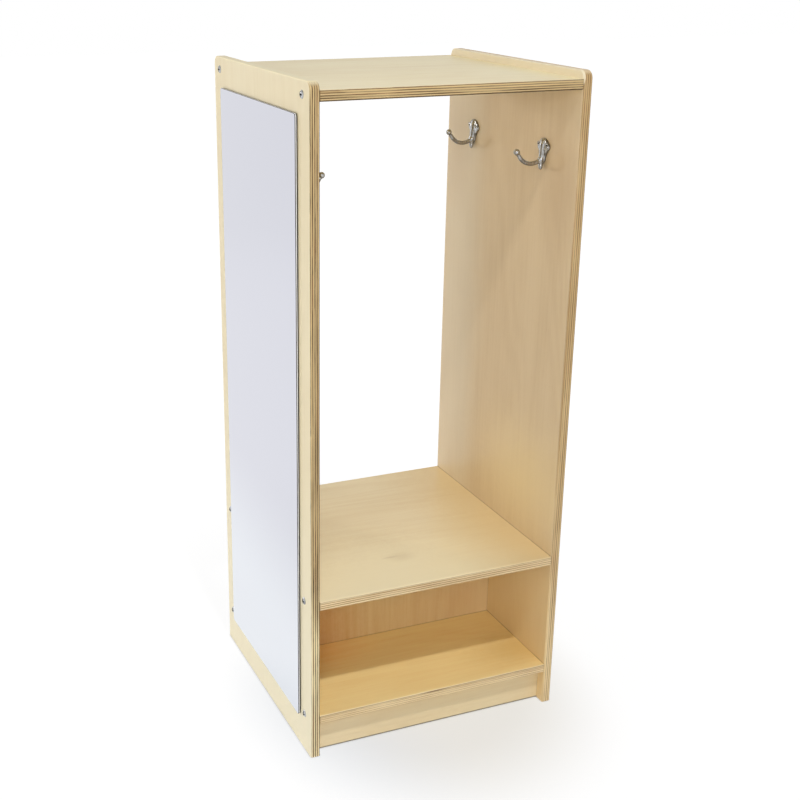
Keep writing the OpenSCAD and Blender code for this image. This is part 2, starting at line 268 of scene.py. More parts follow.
tone = calc(veneer, "MULTIPLY_ADD", clouds, CLOUD_SHARE, CLOUD_SHIFT)
tone = calc(veneer, "MULTIPLY_ADD", contours, CONTOUR_SHARE, tone)
tone = calc(veneer, "SUBTRACT", tone, STREAK_SHIFT)
tone = calc(veneer, "MULTIPLY_ADD", streaks, STREAK_SHARE, tone)
tone = calc(veneer, "MULTIPLY", tone, take["Figure"])
tone = calc(veneer, "MULTIPLY_ADD", pores, PORE_SHARE, tone)
deepness = spread(veneer, tone, -0.1, 1.1)
feed(veneer, give["Colour"], mixed(veneer, deepness, take["Pale"], take["Deep"]))

dryness = calc(veneer, "ADD", streaks, calc(veneer, "MULTIPLY", pores, 0.4))
feed(veneer, give["Roughness"], spread(veneer, dryness, 0.2, 1.2, 0.36, 0.52))
relief = calc(veneer, "SUBTRACT", calc(veneer, "MULTIPLY", streaks, 0.5), pores)
feed(veneer, give["Height"], relief)
print("group", veneer.name, len(veneer.nodes), "nodes")

# %% [markdown]
# ## Plywood layers
# The board is nine thick veneers between two thin faces, each turned a quarter from the last. At
# an edge, every other one shows its long grain, pale and smooth, and those between show end
# grain, dark and rough. Because the layers lie through the whole board, the pattern is solid: it
# depends on the depth in the board alone, and each rounded edge cuts into it as a router would.
# Round a corner the two kinds of layer change places, so the pattern fades from one to the
# other. `pair` runs from 0 to 1 over two layers: the middle of an end-grain one lies at a
# quarter, and the middle of a long-grain one at three quarters.

# %% Ply group: which layer a point lies in
PLIES = 9
BOARD = 0.015
FACE_SHOWS = 0.00045
WAVER = 0.3
END_GRAIN, LONG_GRAIN = 0.25, 0.75
LAYER_CORE, LAYER_RIM = 0.17, 0.24

plies, take, give = begin_group(
    "ply_layers",
    {"Place": "place", "Seed": "number", "Turned": "number", "Gaps": "number",
     "Pale": "colour", "Deep": "colour"},
    {"Colour": "colour", "Roughness": "number", "Height": "number", "Face": "number"},
)
depth = parted(plies, take["Place"])[2]
waver = noise(plies, take["Place"], (5, 5, 0), 2, 0.5)
level = calc(plies, "MULTIPLY", depth, PLIES / BOARD)
level = calc(plies, "MULTIPLY_ADD", waver, WAVER, level)
level = calc(plies, "SUBTRACT", level, WAVER / 2)
layer = calc(plies, "FLOOR", level)
pair = calc(plies, "FRACT", calc(plies, "MULTIPLY", level, 0.5))
from_end = calc(plies, "ABSOLUTE", calc(plies, "SUBTRACT", pair, END_GRAIN))
from_long = calc(plies, "ABSOLUTE", calc(plies, "SUBTRACT", pair, LONG_GRAIN))
straight = spread(plies, from_end, LAYER_CORE, LAYER_RIM, 1.0, 0.0)
round_corner = spread(plies, from_long, LAYER_CORE, LAYER_RIM, 1.0, 0.0)
crossed = calc(plies, "MULTIPLY", straight, calc(plies, "SUBTRACT", 1.0, take["Turned"]))
crossed = calc(plies, "MULTIPLY_ADD", round_corner, take["Turned"], crossed)

from_face = calc(plies, "MINIMUM", depth, calc(plies, "SUBTRACT", BOARD, depth))
feed(plies, give["Face"], calc(plies, "LESS_THAN", from_face, FACE_SHOWS))
print("one layer is", round(1000 * BOARD / PLIES, 2), "mm thick")

# %% [markdown]
# ## The layers' tones
# No two veneers are alike. Each layer gets its own luck from its number, long grain is streaked,
# end grain is speckled and patchy, and slow moods of tone drift along the whole edge.

# %% Ply group: tones
chance = plies.nodes.new("ShaderNodeTexWhiteNoise")
chance.noise_dimensions = "1D"
feed(plies, chance.inputs["W"], calc(plies, "ADD", layer, take["Seed"]))
luck = chance.outputs["Value"]
long_streaks = noise(plies, take["Place"], (9, 9, 1400), 2, 0.6)
speckle = noise(plies, take["Place"], (900, 900, 900), 3, 0.7)
mood = noise(plies, take["Place"], (6, 6, 110), 2, 0.5)
patches = spread(plies, noise(plies, take["Place"], (16, 16, 500), 3, 0.6), 0.35, 0.65)

long_tone = calc(plies, "MULTIPLY_ADD", long_streaks, 0.45, -0.15)
long_tone = calc(plies, "MULTIPLY_ADD", luck, 0.15, long_tone)
end_tone = calc(plies, "MULTIPLY_ADD", speckle, 0.35, 0.12)
end_tone = calc(plies, "MULTIPLY_ADD", luck, 0.45, end_tone)
end_tone = calc(plies, "MULTIPLY_ADD", patches, 0.5, end_tone)
end_part = calc(plies, "MULTIPLY", crossed, end_tone)
long_part = calc(plies, "MULTIPLY", calc(plies, "SUBTRACT", 1.0, crossed), long_tone)
tone = calc(plies, "ADD", end_part, long_part)
tone = calc(plies, "MULTIPLY_ADD", calc(plies, "SUBTRACT", mood, 0.5), 1.3, tone)
print("ply tones:", len(plies.nodes), "nodes so far")

# %% [markdown]
# ## Glue lines and voids
# A thin brown line of glue lies at each joint of two layers. Here and there the veneer inside
# has a small void, which is dark, and some stretches of end grain are warmer than others.

# %% Ply group: glue and voids
WARM_END, GLUE, VOID = srgb(150, 92, 48), srgb(88, 62, 34), srgb(66, 45, 24)
GLUE_AT, GLUE_REACH = 0.22, 0.04

glue = calc(plies, "ABSOLUTE", calc(plies, "SUBTRACT", from_end, GLUE_AT))
glue = spread(plies, glue, 0.0, GLUE_REACH, 1.0, 0.0)
glue = calc(plies, "MULTIPLY", glue, calc(plies, "MULTIPLY_ADD", patches, 0.4, 0.25))
voids = spread(plies, noise(plies, take["Place"], (22, 22, 460), 3, 0.6), 0.53, 0.63)
voids = calc(plies, "MULTIPLY", calc(plies, "MULTIPLY", voids, crossed), take["Gaps"])
warm = spread(plies, noise(plies, take["Place"], (7, 7, 260), 2, 0.5), 0.52, 0.66)
deep = mixed(plies, calc(plies, "MULTIPLY", warm, 0.6), take["Deep"], WARM_END)
colour = mixed(plies, tone, take["Pale"], deep)
colour = mixed(plies, glue, colour, GLUE)
feed(plies, give["Colour"], mixed(plies, voids, colour, VOID))

feed(plies, give["Roughness"], calc(plies, "MULTIPLY_ADD", crossed, 0.14, 0.46))
relief = calc(plies, "MULTIPLY_ADD", speckle, 0.25, calc(plies, "MULTIPLY", crossed, -0.35))
hollow = calc(plies, "ADD", voids, calc(plies, "MULTIPLY", glue, 0.3))
feed(plies, give["Height"], calc(plies, "SUBTRACT", relief, hollow))
print("group", plies.name, len(plies.nodes), "nodes")

# %% [markdown]
# ## Marks and joint lines
# Wood is never even. One group masks a soft-edged blob of any length, width and depth around a
# centre, with a frayed outline. Long and thin, it is a void in an edge; wide and soft, a cloudy
# knot; and squeezed flat against a neighbour's face, the fine dark line of a joint. Wide and
# soft, it also paints light or shade onto a board: pale for painted light, dark for painted shade.

# %% Mark group
mark, take, give = begin_group(
    "soft_mark",
    {"Place": "place", "Centre": "place", "Reach": "place", "Fray": "number", "Core": "number"},
    {"Mask": "number"},
)
offset = vector_calc(mark, "SUBTRACT", take["Place"], take["Centre"])
offset = vector_calc(mark, "DIVIDE", offset, take["Reach"])
unrest = calc(mark, "SUBTRACT", noise(mark, take["Place"], (120, 120, 120), 3, 0.6), 0.5)
unrest = calc(mark, "MULTIPLY", unrest, take["Fray"])
far = calc(mark, "ADD", vector_calc(mark, "LENGTH", offset), unrest)
feed(mark, give["Mask"], spread(mark, far, take["Core"], 1.0, 1.0, 0.0))
print("group", mark.name, len(mark.nodes), "nodes")

# %% [markdown]
# ## The boards' material
# Each board is cut from its own sheet, so each has its own seed and tones. The function is told
# which way the board is thick, which way its face grain runs, and where its lower face lies. It
# turns the place into (along, across, through), paints veneer where the outermost layer shows
# and layers elsewhere, and lays a clear satin lacquer over both as a coat. A mark is written as
# (centre, reach, fray, core, strength, stain or painted light), for some marks are real stains
# and others painted light or shade, and a foot as (lower height, upper height, tones) for an edge
# that is paler near the floor.

# %% Board material
X, Y, Z = 0, 1, 2
RELIEF = 0.00012


def birch_board(name, thick, grain, low, seed, face_tones, edge_tones,
                figure=1.0, gaps=0.5, marks=(), foot=None):
    material, tree, surface, place = begin_material(
        name, Coat_Weight=0.10, Coat_Roughness=0.24, Specular_IOR_Level=0.3)
    axes = parted(tree, place)
    other = 3 - thick - grain
    through = calc(tree, "SUBTRACT", axes[thick], low)
    in_board = joined(tree, axes[grain], axes[other], through)
    seeded = vector_calc(tree, "ADD", in_board, (seed * 3.1, seed * 1.7, 0))
    face = use_group(tree, veneer, Place=seeded, Pale=face_tones[0], Deep=face_tones[1],
                     Figure=figure)

    geometry = tree.nodes.new("ShaderNodeNewGeometry")
    facing = parted(tree, geometry.outputs["True Normal"])[grain]
    turned = spread(tree, calc(tree, "ABSOLUTE", facing), 0.45, 0.9)
    if foot:
        from_z, to_z, foot_tones = foot
        lower = spread(tree, axes[Z], from_z, to_z, 1.0, 0.0)
        edge_tones = [mixed(tree, lower, up, down) for up, down in zip(edge_tones, foot_tones)]
    edge = use_group(tree, plies, Place=seeded, Seed=float(seed), Turned=turned, Gaps=gaps,
                     Pale=edge_tones[0], Deep=edge_tones[1])

    round_share = calc(tree, "MULTIPLY", turned, 0.8)
    edge_colour = mixed(tree, round_share, edge["Colour"], face_tones[0])
    colour = mixed(tree, edge["Face"], edge_colour, face["Colour"])
    rough = blended(tree, edge["Face"], edge["Roughness"], face["Roughness"])
    height = blended(tree, edge["Face"], edge["Height"], face["Height"])
    for centre, reach, fray, core, strength, stain_or_light in marks:
        mask = use_group(tree, mark, Place=place, Centre=centre, Reach=reach, Fray=fray,
                         Core=core)["Mask"]
        colour = mixed(tree, calc(tree, "MULTIPLY", mask, strength), colour, stain_or_light)
    feed(tree, surface["Base Color"], colour)
    feed(tree, surface["Roughness"], rough)
    feed(tree, surface["Normal"], bump(tree, height, RELIEF, 0.5))
    return material


def low_face(name, axis):
    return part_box(name)[0][axis]


def high_face(name, axis):
    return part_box(name)[1][axis]


def clad(node, name, thick, grain, *look):
    """Makes a board's own material and puts it on."""
    dress(birch_board(name, thick, grain, low_face(node, thick), *look), node)


print("board material ready")

# %% [markdown]
# ## Tones of wood
# The same birch ranges from cream to honey from one sheet to the next. Each pair is the palest
# and the deepest tone of one veneer or of one board's layers. BUFF for the right panel, AMBER for
# the bottom shelf and UMBER for the divider are also warmer as painted shade: they stand in for
# the deep, warm colour that light bounced between wood gives these shaded boards.

# %% Tones
CREAM = (srgb(236, 221, 184), srgb(219, 198, 151))
STRAW = (srgb(252, 236, 188), srgb(236, 213, 162))
BUFF = (srgb(235, 212, 173), srgb(214, 185, 140))
HONEY = (srgb(242, 227, 190), srgb(224, 200, 156))
OAT = (srgb(241, 224, 184), srgb(225, 199, 153))
AMBER = (srgb(254, 230, 167), srgb(237, 197, 126))
UMBER = (srgb(238, 210, 156), srgb(216, 172, 112))
DARK_EDGE = (srgb(220, 192, 140), srgb(84, 58, 28))
LEFT_FOOT = (srgb(254, 238, 190), srgb(92, 70, 38))
RIGHT_EDGE = (srgb(217, 188, 138), srgb(150, 114, 68))
RIGHT_FOOT = (srgb(242, 217, 168), srgb(176, 140, 94))
LIGHT_EDGE = (srgb(246, 224, 178), srgb(180, 142, 94))
PALE_EDGE = (srgb(246, 224, 178), srgb(204, 170, 122))
SHADE, FOOT_SHADE, LAID_BARE = srgb(104, 72, 40), srgb(74, 60, 40), srgb(118, 82, 46)
print("tones ready")

# %% [markdown]
# ## Marks that boards share
# Where two boards meet, the eye sees a hair line of shade, so each level board gets one at both
# of its ends, and each side panel one along every shelf. A shelf's front edge was rounded with a
# router and sanded: its upper arris gets a painted highlight, and just below it the first glue
# line is laid bare. WIDE is a reach so long that a mark runs the whole length of its board.

# %% Shared marks
WIDE = 9.0
LEFT_OUT, LEFT_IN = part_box("left_side_panel")[0].x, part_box("left_side_panel")[1].x
RIGHT_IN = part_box("right_side_panel")[0].x
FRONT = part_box("left_side_panel")[0].y


def end_lines(strength=0.35):
    """Joint lines of a board that stops against both side panels."""
    return [((x, 0, 0), (0.0011, WIDE, WIDE), 0.0, 0.3, strength, SHADE)
            for x in (LEFT_IN, RIGHT_IN)]


def shelf_lines(face):
    """Joint lines where the shelves stop against the inner face of a side panel."""
    levels = [high_face(name, Z) for name in ("middle_shelf", "bottom_shelf")]
    return [((face, 0, z + 0.0004), (0.0012, WIDE, 0.0012), 0.0, 0.3, 0.35, SHADE)
            for z in levels]


def painted_arris_highlight(name, highlight_tone):
    """The rounded upper front edge, with a painted highlight."""
    return [((0, FRONT, high_face(name, Z)), (WIDE, 0.0016, 0.0013), 0.3, 0.4, 0.8, highlight_tone)]


def dark_line(name, down, strength):
    """The first glue line, `down` below the upper face, which the router laid bare."""
    at = (0, FRONT, high_face(name, Z) - down)
    return [(at, (WIDE, 0.003, 0.0010), 0.6, 0.2, strength, LAID_BARE)]


print("inner faces at x =", round(LEFT_IN, 4), "and", round(RIGHT_IN, 4))

# %% [markdown]
# ## The left side panel
# The side panels stand with their grain upright. The left one is the palest, paler still near
# the floor, with a paler band along its top edge. Its front edge is in shade on the inner side
# and has a few long, thin splits between its layers.

# %% Left panel
SPLIT = (0.0007, 0.003)
splits = ((0.0054, 0.31, 0.04), (0.0085, 0.30, 0.05), (0.0086, 0.82, 0.06), (0.0140, 0.88, 0.10))

pale_base = [((LEFT_OUT, 0, 0.06), (0.004, WIDE, 0.50), 0.1, 0.1, 0.65, srgb(244, 235, 204))]
inner_arris = [
    ((LEFT_IN, FRONT, 0.64), (0.0022, 0.004, 0.44), 0.3, 0.6, 0.8, srgb(104, 76, 42))]
edge_splits = [((LEFT_OUT + into, FRONT, z), (*SPLIT, reach), 0.9, 0.3, 0.7, VOID)
               for into, z, reach in splits]
left_rim = [((LEFT_OUT, 0, 1.030), (0.03, WIDE, 0.0015), 0.0, 0.6, 0.8, srgb(250, 236, 194))]
left_marks = pale_base + shelf_lines(LEFT_IN) + inner_arris + edge_splits + left_rim
clad("left_side_panel", "birch_left_panel", X, Z, 1, CREAM, DARK_EDGE, 0.6, 0.9,
     left_marks, (0.16, 0.34, LEFT_FOOT))

# %% [markdown]
# ## The right side panel
# Its inner face is the largest that shows, and it is cloudy, mostly with painted light and
# shade: a painted sheen and light towards the rear, painted light above the shelf, painted shade
# at the top near the hooks and along the inner front edge, and a painted warm bounce inside the
# shoe cubbies.

# %% Right panel
# Painted light and shade on the inner face: sheen and light at the rear, light above the shelf,
# warm bounce in the cubbies, shade high up and along the front arris.
painted_rear_light = [((RIGHT_IN, 0.15, 0.50), (0.004, 0.11, WIDE), 0.2, 0.2, 0.5, srgb(238, 226, 200))]
painted_cubby_bounce = [((RIGHT_IN, 0, 0.12), (0.004, WIDE, 0.17), 0.1, 0.5, 0.5, srgb(255, 228, 170))]
pale_toe = [((RIGHT_IN, FRONT, 0.02), (0.004, 0.024, 0.05), 0.1, 0.5, 0.4, srgb(232, 202, 148))]
painted_light_above_shelf = [((RIGHT_IN, -0.09, 0.37), (0.004, 0.22, 0.15), 0.2, 0.0, 0.65, srgb(255, 232, 181))]
painted_top_shade = [
    ((RIGHT_IN, -0.16, 0.86), (0.004, 0.10, 0.14), 0.2, 0.0, 0.7, srgb(214, 185, 143)),
    ((RIGHT_IN, 0.17, 0.86), (0.004, 0.08, 0.14), 0.2, 0.0, 0.6, srgb(220, 198, 166)),
]
painted_arris_shade = [((RIGHT_IN, FRONT, 0.57), (0.0018, 0.004, 0.32), 0.3, 0.5, 0.6, srgb(180, 146, 98))]
right_rim = [((RIGHT_IN, 0, 1.032), (0.004, WIDE, 0.024), 0.0, 0.75, 0.9, srgb(248, 234, 201))]
right_marks = painted_rear_light + painted_cubby_bounce + pale_toe + painted_light_above_shelf + painted_top_shade + painted_arris_shade + right_rim
clad("right_side_panel", "birch_right_panel", X, Z, 2, BUFF, RIGHT_EDGE, 0.8, 0.3,
     right_marks + shelf_lines(RIGHT_IN), (0.05, 0.5, RIGHT_FOOT))

# %% [markdown]
# ## The top panel
# The shelves and the top have their grain running across the unit. The top's front edge is in
# its own shade along the bottom, and its layers are darker at the left end.

# %% Top panel
top_high, top_low = high_face("top_panel", Z), low_face("top_panel", Z)

dusky_corner = [
    ((LEFT_IN, FRONT, 1.0155), (0.05, 0.003, 0.0025), 0.5, 0.4, 0.45, srgb(140, 106, 64))]
top_under = [((0, FRONT, top_low + 0.0003), (WIDE, 0.003, 0.0023), 0.3, 0.5, 0.9, srgb(86, 62, 32))]
top_tones = [
    ((LEFT_IN, 0.08, top_high), (0.11, 0.22, 0.003), 0.2, 0.2, 0.6, srgb(238, 219, 168)),
    ((RIGHT_IN, -0.1, top_high), (0.16, 0.2, 0.003), 0.2, 0.0, 0.35, srgb(255, 246, 206)),
]
top_marks = end_lines(0.4) + dark_line("top_panel", 0.0009, 0.6)
top_marks += dusky_corner + top_under + top_tones
clad("top_panel", "birch_top", Z, X, 3, STRAW, DARK_EDGE, 0.8, 0.6, top_marks)

# %% [markdown]
# ## The middle shelf
# It has painted light along its front and is ruddier to the right, and it has the one knot that
# shows: a faint cloud with a darker streak in it.

# %% Middle shelf
SHELF_FACE = 0.27

# Painted light along the front of the shelf.
painted_front_light = [
    ((-0.07, -0.19, SHELF_FACE), (0.32, 0.23, 0.003), 0.3, 0.2, 0.85, srgb(255, 242, 203))]
ruddy_side = [((RIGHT_IN, 0, SHELF_FACE), (0.17, WIDE, 0.003), 0.3, 0.0, 0.75, srgb(221, 192, 137))]
knot = [
    ((-0.022, -0.112, SHELF_FACE), (0.034, 0.022, 0.004), 0.6, 0.0, 0.17, srgb(176, 140, 88)),
    ((-0.040, -0.108, SHELF_FACE), (0.020, 0.004, 0.004), 0.7, 0.1, 0.18, srgb(160, 122, 74)),
]
middle_marks = painted_front_light + ruddy_side + knot + end_lines()
middle_marks += painted_arris_highlight("middle_shelf", srgb(244, 224, 182))
middle_marks += dark_line("middle_shelf", 0.0019, 0.45)
clad("middle_shelf", "birch_middle_shelf", Z, X, 4, HONEY, LIGHT_EDGE, 0.8, 0.1, middle_marks)

# %% [markdown]
# ## The bottom shelf
# This is the yellowest board, partly as painted shade colour. Two of its corners carry painted
# shade: the right panel's shadow at the front right, and the shade in the corner between the
# left panel and the divider. The divider leaves a joint line on it, and a single long void shows
# in the middle of its front edge.

# %% Bottom shelf
LOW_SHELF_FACE = 0.072
divider_front, on_shelf = low_face("cubby_divider", Y), high_face("bottom_shelf", Z)

divider_foot = [((0, divider_front, on_shelf), (WIDE, 0.0014, 0.002), 0.0, 0.3, 0.4, SHADE)]
# Painted shade in two corners of the shelf.
painted_corner_shade = [
    ((RIGHT_IN, -0.135, LOW_SHELF_FACE), (0.15, 0.08, 0.004), 0.2, 0.0, 0.75, srgb(214, 180, 113)),
    ((LEFT_IN, -0.02, LOW_SHELF_FACE), (0.2, 0.1, 0.004), 0.2, 0.0, 0.6, srgb(255, 184, 98)),
]
edge_void = [((0.0, FRONT, 0.0697), (0.029, 0.004, 0.0011), 0.5, 0.4, 0.85, srgb(92, 62, 36))]
bottom_marks = end_lines() + divider_foot + painted_corner_shade + edge_void
bottom_marks += painted_arris_highlight("bottom_shelf", srgb(255, 243, 206))
bottom_marks += dark_line("bottom_shelf", 0.0021, 0.55)
clad("bottom_shelf", "birch_bottom_shelf", Z, X, 5, AMBER, PALE_EDGE, 0.8, 0.1, bottom_marks)

# %% [markdown]
# ## The divider and the kick boards
# The divider's grain is upright, with painted warm shade at its left end and paler at its right.
# The kick boards' grain runs across the unit. They have a joint line under the shelf and painted
# shade along the foot.

# %% Divider and kick boards
divider_low = low_face("cubby_divider", Z)
kick_low, kick_high = low_face("front_kick_board", Z), high_face("front_kick_board", Z)

# Painted warm shade at the divider's left end.
painted_warm_shade_end = [((LEFT_IN, 0, 0.2), (0.20, WIDE, WIDE), 0.4, 0.0, 0.58, srgb(210, 129, 44))]
pale_end = [((RIGHT_IN, 0, 0.2), (0.26, WIDE, WIDE), 0.4, 0.0, 0.35, srgb(238, 216, 178))]
divider_line = [((0, 0, divider_low), (WIDE, WIDE, 0.0012), 0.0, 0.3, 0.45, SHADE)]
clad("cubby_divider", "birch_divider", Y, Z, 6, UMBER, DARK_EDGE, 1.0, 0.4,
     painted_warm_shade_end + pale_end + end_lines() + divider_line)

pale_kick = [((LEFT_IN, 0, 0.04), (0.22, WIDE, WIDE), 0.3, 0.0, 0.3, srgb(244, 228, 194))]
under_shelf = [((0, 0, kick_high), (WIDE, WIDE, 0.0014), 0.0, 0.3, 0.35, SHADE)]
# Painted shade along the kick boards' foot, which deepens the dark line where they meet the floor.
painted_foot_shade = [((0, 0, kick_low), (WIDE, WIDE, 0.0016), 0.2, 0.2, 0.75, FOOT_SHADE)]
kick_marks = pale_kick + end_lines() + under_shelf + painted_foot_shade
for seed, end in ((7, "front"), (8, "rear")):
    clad(f"{end}_kick_board", f"birch_{end}_kick", Y, X, seed, OAT, DARK_EDGE, 1.0, 0.4, kick_marks)

# %% [markdown]
# ## Beech dowels
# The dowels are glued inside the boards and never show, but a finished model has no bare pieces.
# Beech is known by its short darker flecks along the grain, and dowels lie along X or stand in Z.

# %% Dowels
dowel_wood, tree, surface, place = begin_material("beech_dowel", Specular_IOR_Level=0.3)
grain_lines = noise(tree, place, (60, 900, 900), 3, 0.6)
rays = spread(tree, noise(tree, place, (420, 1500, 1500), 1, 0.5), 0.62, 0.70)
rays = calc(tree, "MULTIPLY", rays, 0.5)
wood = mixed(tree, grain_lines, srgb(222, 184, 138), srgb(192, 146, 100))
feed(tree, surface["Base Color"], mixed(tree, rays, wood, srgb(146, 100, 62)))
feed(tree, surface["Roughness"], spread(tree, grain_lines, 0.2, 0.8, 0.5, 0.68))
feed(tree, surface["Normal"], bump(tree, grain_lines, 0.0001, 0.6))
dress(dowel_wood, *[name for name in nodes if name.endswith("dowels")])

# %% [markdown]
# ## The mirror
# It is a safety mirror of clear acrylic, silvered and painted on its back. Its face is a perfect
# metal with a faint cool tint, a very slow waviness and a few wipe marks, and its tint is paler
# low down and greyer higher up as a painted reflection. Its cut edges show the sheet itself: a
# dark line at the front, a pale band of clear plastic whose brightness is painted light, and the
# dark paint behind.
# Whether a point is on the face is read from the surface's own direction.

# %% Mirror
BAND_FROM, BAND_TO = 0.0011, 0.0021
COOL_UP_TO, GREY_FROM = 0.16, 0.42

mirror, tree, surface, place = begin_material("acrylic_mirror", Specular_IOR_Level=0.5)
geometry = tree.nodes.new("ShaderNodeNewGeometry")
facing = parted(tree, geometry.outputs["Normal"])[X]
on_face = spread(tree, calc(tree, "MULTIPLY", facing, -1), 0.97, 0.995)
sheet_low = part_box("mirror_sheet")[0]
behind = calc(tree, "SUBTRACT", parted(tree, place)[X], sheet_low.x)
past_front = calc(tree, "GREATER_THAN", behind, BAND_FROM)
band = calc(tree, "MULTIPLY", past_front, calc(tree, "LESS_THAN", behind, BAND_TO))
# The pale band of clear plastic is painted light.
edge_colour = mixed(tree, band, srgb(22, 25, 34), srgb(240, 242, 244))
# Painted reflection: the silver is paler low down and greyer higher up.
painted_reflection_height = spread(tree, parted(tree, place)[Z], COOL_UP_TO, GREY_FROM)
silver_and_painted_reflection = mixed(tree, painted_reflection_height, srgb(227, 231, 238), srgb(207, 208, 218))
feed(tree, surface["Base Color"], mixed(tree, on_face, edge_colour, silver_and_painted_reflection))
feed(tree, surface["Metallic"], on_face)
wipes = spread(tree, noise(tree, place, (3, 9, 30), 4, 0.6), 0.5, 0.8, 0.30, 0.33)
feed(tree, surface["Roughness"], calc(tree, "MULTIPLY_ADD", on_face, -0.28, wipes))
waves = noise(tree, place, (4, 4, 2.5), 1, 0.4)
feed(tree, surface["Normal"], bump(tree, waves, 0.0004, 0.5))
dress(mirror, "mirror_sheet")

# %% [markdown]
# ## Foam tape
# Strips of dark foam hold the mirror off the panel. Only their shade shows in the gap. A foam is
# rough all over, with cells that a fine, deep noise bump gives.

# %% Tape
foam, tree, surface, place = begin_material("foam_tape", Specular_IOR_Level=0.2)
cells = noise(tree, place, (2600, 2600, 2600), 2, 0.5)
feed(tree, surface["Base Color"], mixed(tree, cells, srgb(38, 38, 41), srgb(70, 70, 74)))
feed(tree, surface["Roughness"], spread(tree, cells, 0.2, 0.8, 0.8, 0.95))
feed(tree, surface["Normal"], bump(tree, cells, 0.0002))
dress(foam, "mirror_tape")

# %% [markdown]
# ## Metal finishes
# Two metals show: zinc on the screws and satin nickel on the hooks. Both are made smooth and
# then tumbled or turned, which leaves marks too small to see one by one that spread the
# highlights. One group gives a fine mottle and a little tarnish for both.

# %% Metal group
metal, take, give = begin_group(
    "worked_metal",
    {"Place": "place", "Bright": "colour", "Dull": "colour",
     "Smooth": "number", "Rough": "number"},
    {"Colour": "colour", "Roughness": "number", "Height": "number"},
)
mottle = noise(metal, take["Place"], (700, 700, 700), 4, 0.6)
tarnish = spread(metal, noise(metal, take["Place"], (90, 90, 90), 3, 0.6), 0.45, 0.75)
dulled = calc(metal, "MAXIMUM", tarnish, calc(metal, "MULTIPLY", mottle, 0.4))
feed(metal, give["Colour"], mixed(metal, dulled, take["Bright"], take["Dull"]))
wear = calc(metal, "MULTIPLY_ADD", tarnish, 0.5, mottle)
rough = spread(metal, wear, 0.3, 1.2, take["Smooth"], take["Rough"], shape="LINEAR")
feed(metal, give["Roughness"], rough)
feed(metal, give["Height"], mottle)
print("group", metal.name, len(metal.nodes), "nodes")

# %% [markdown]
# ## Screws
# The assembly screws have wide domed heads with a cross recess. They were turned on a lathe, so
# their finish runs in rings round each screw's own axis. Both screws of a row lie at the same
# distance from the middle of the depth, so folding Y in half lets one centre serve two screws.

# %% Zinc
MIDDLE = (0.0007, 0, 0)
RING = 0.00035
SLOT_HALF, SLOT_FADE = 0.0009, 0.0014
SLOT_END, SLOT_GONE = 0.0036, 0.0044
RIM_FROM, RIM_TO = 0.0050, 0.0059
# The recesses of the screw heads get a painted shade, nearly black.
RECESS_SHADE = srgb(40, 37, 34)


def zinc_screw(name, centre):
    material, tree, surface, place = begin_material(name, Metallic=1.0)
    worked = use_group(tree, metal, Place=place, Bright=srgb(206, 207, 208),
                       Dull=srgb(142, 143, 145), Smooth=0.24, Rough=0.44)
    from_middle = vector_calc(tree, "SUBTRACT", place, MIDDLE)
    folded = vector_calc(tree, "ABSOLUTE", from_middle)
    flat = vector_calc(tree, "MULTIPLY", folded, (0, 1, 1))
    radius = vector_calc(tree, "DISTANCE", flat, (0, centre[1], centre[2]))
    rings = calc(tree, "SINE", calc(tree, "MULTIPLY", radius, 2 * math.pi / RING))
    offset = vector_calc(tree, "ABSOLUTE", vector_calc(tree, "SUBTRACT", folded, centre))
    offset = parted(tree, offset)
    # Painted shade: the cross recess is painted nearly black.
    slot = calc(tree, "MINIMUM", offset[Y], offset[Z])
    slot = spread(tree, slot, SLOT_HALF, SLOT_FADE, 1.0, 0.0)
    shaded_recess = calc(tree, "MULTIPLY", slot, spread(tree, radius, SLOT_END, SLOT_GONE, 1.0, 0.0))
    # Painted shade: the head darkens towards its rim, where it meets the wood.
    painted_rim_shade = spread(tree, radius, RIM_FROM, RIM_TO, 0.0, 0.5)
    rim_shaded = mixed(tree, painted_rim_shade, worked["Colour"], srgb(96, 92, 86))
    feed(tree, surface["Base Color"], mixed(tree, shaded_recess, rim_shaded, RECESS_SHADE))
    rough = calc(tree, "MULTIPLY_ADD", shaded_recess, 0.4, worked["Roughness"])
    feed(tree, surface["Roughness"], rough)
    relief = calc(tree, "MULTIPLY_ADD", rings, 0.25, worked["Height"])
    feed(tree, surface["Normal"], bump(tree, relief, 0.00002, 0.5))
    return material


print("zinc ready, with a ring every", round(RING * 1000, 2), "mm")

# %% [markdown]
# ## The heads' centres
# A domed head is cut from a ball, whose radius follows from the head's width and height. The
# box of a row gives the ball's centre, as distances from the middle of the unit.

# %% Assembly screws
HEAD_R, HEAD_H = 0.006, 0.0028
DOME_R = (HEAD_R ** 2 + HEAD_H ** 2) / (2 * HEAD_H)

for row in ("top", "middle", "bottom"):
    low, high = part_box(f"left_{row}_screws")
    out = MIDDLE[0] - low.x - DOME_R
    centre = (out, (high.y - low.y) / 2 - HEAD_R, (low.z + high.z) / 2)
    dress(zinc_screw(f"zinc_{row}", centre), f"left_{row}_screws", f"right_{row}_screws")
dress(zinc_screw("zinc_divider", (0, 0, 0.06)), "divider_screws")

# %% [markdown]
# ## The coat hooks
# Each hook is one casting: a plate with two ears for the screws, a raised rib down its middle, a
# round boss with a tapered stub, and an arm that swings out and up to a ball. In a casting
# nothing meets at a sharp corner. Modelling the fillets by hand would take long, so simple
# closed forms are pushed into each other, a voxel remesh welds them into one skin, and smoothing
# rounds every inner corner as the foundry's pattern does.
# Here u runs out from the panel, v along it and z up from the line of the screws, in metres.

# %% Balls, tubes and the arm's route
MM = 0.001
BOSS = Vector((5, 0, -22)) * MM
BEND_R = 25.3 * MM
DIP, RISE = math.radians(40), math.radians(55)
BEND_STEPS = 28
REACH = 47.5 * MM


